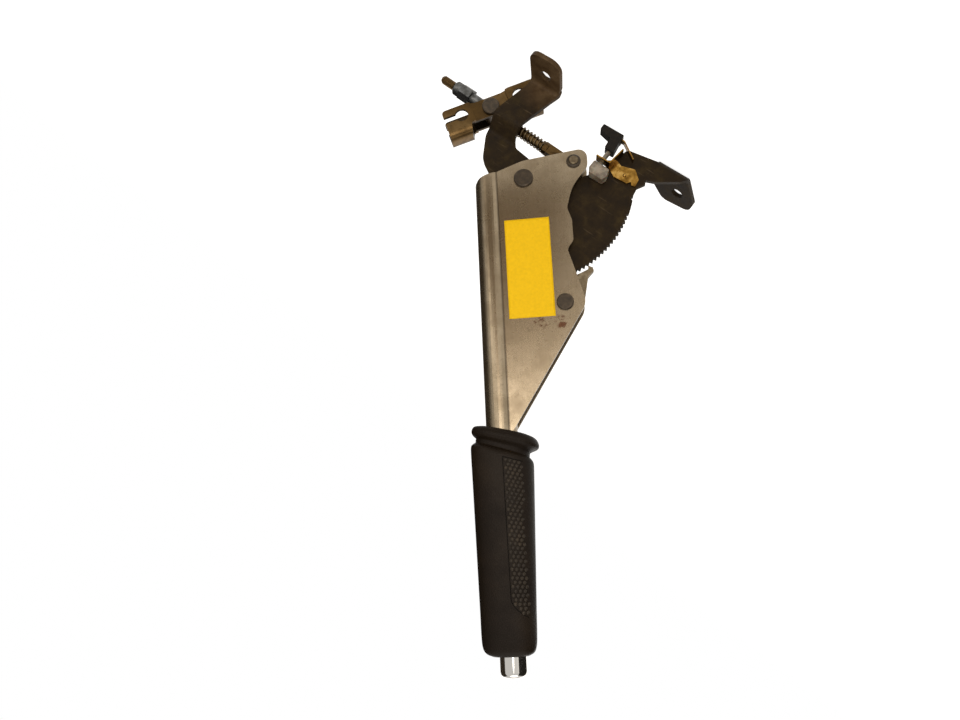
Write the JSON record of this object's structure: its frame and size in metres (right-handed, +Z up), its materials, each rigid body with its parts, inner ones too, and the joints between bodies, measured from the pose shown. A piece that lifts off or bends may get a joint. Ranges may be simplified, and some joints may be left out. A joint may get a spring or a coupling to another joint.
{
  "type": "parking brake lever",
  "caption": "Hand parking brake lever: folded steel arm with moulded grip and release button, pivoting on a toothed sector bracket and pulling a sprung rod with a cable equaliser.",
  "frame": {"origin": "centre of the two floor bolt holes, on the underside of the feet", "axes": "+X forward along the car, +Y to the left, +Z up from the floor"},
  "size_m": [0.2708, 0.0788, 0.3119],
  "materials": {
    "bracket_steel": "dark brown phosphate, lightly worn",
    "lever_steel": "bare worn steel, warm grey",
    "rivet_steel": "dark oxidised steel",
    "machined_steel": "plain steel",
    "spring_steel": "drawn wire",
    "gold_zinc": "gold passivated zinc on steel",
    "switch_brass": "bright brass strip",
    "black_plastic": "moulded",
    "white_nylon": "natural nylon",
    "grip_rubber": "fine grain",
    "button_chrome": "polished"
  },
  "bodies": {
    "base": {"base_bracket": "bracket_steel", "pivot_bush": "machined_steel", "switch_bracket": "switch_brass", "switch_insulator": "black_plastic", "switch_terminal": "switch_brass", "plunger_spring": "spring_steel"},
    "lever": {"lever_arm": "lever_steel", "pivot_pin": "rivet_steel", "pawl_pin": "rivet_steel", "pawl_spacers": "machined_steel", "pawl_spring": "spring_steel", "clevis_pin": "rivet_steel", "clevis_clip": "rivet_steel", "grip": "grip_rubber", "rod_guide": "white_nylon", "button_spring": "spring_steel"},
    "pawl": {"pawl": "machined_steel"},
    "release": {"button": "button_chrome", "push_rod": "machined_steel"},
    "rod": {"pull_rod": "gold_zinc", "rod_spring": "spring_steel", "trunnion": "rivet_steel"},
    "balance": {"equaliser": "gold_zinc"},
    "nut": {"adjuster_nut": "machined_steel"},
    "plunger": {"switch_plunger": "white_nylon"}
  },
  "joints": [
    {"name": "lever_pull", "type": "hinge", "parent": "base", "child": "lever", "pos_m": [-0.0278, 0, 0.063], "axis": [0, 1, 0], "range_deg": [0, 45]},
    {"name": "button_push", "type": "slide", "parent": "lever", "child": "release", "axis": [-0.6347, 0, -0.7727], "range_m": [-0.0028, 0.002], "stiffness_N_per_m": 600, "springref_m": -0.009, "deforming": ["button_spring"]},
    {"name": "pawl_swing", "type": "hinge", "parent": "lever", "child": "pawl", "pos_m": [0.04254, 0, 0.11587], "axis": [0, -1, 0], "range_deg": [-3.75, 2.7]},
    {"name": "rod_swing", "type": "hinge", "parent": "lever", "child": "rod", "pos_m": [-0.00812, 0, 0.03544], "axis": [0, 1, 0], "range_deg": [-45, 0]},
    {"name": "equaliser_tilt", "type": "hinge", "parent": "rod", "child": "balance", "pos_m": [-0.07752, 0, 0.03181], "axis": [0, 1, 0], "range_deg": [-6, 6]},
    {"name": "adjuster_turn", "type": "hinge", "parent": "rod", "child": "nut", "pos_m": [-0.07752, 0, 0.03181], "axis": [-0.9986, 0, -0.0523], "continuous": true},
    {"name": "plunger_press", "type": "slide", "parent": "base", "child": "plunger", "axis": [0, 0, -1], "range_m": [0, 0.003], "stiffness_N_per_m": 300, "springref_m": -0.003, "deforming": ["plunger_spring"]}
  ],
  "couplings": [
    {"joint": "pawl_swing", "follows": "button_push", "rad_per_m": 23.06},
    {"joint": "rod_swing", "follows": "lever_pull", "ratio": -1}
  ]
}
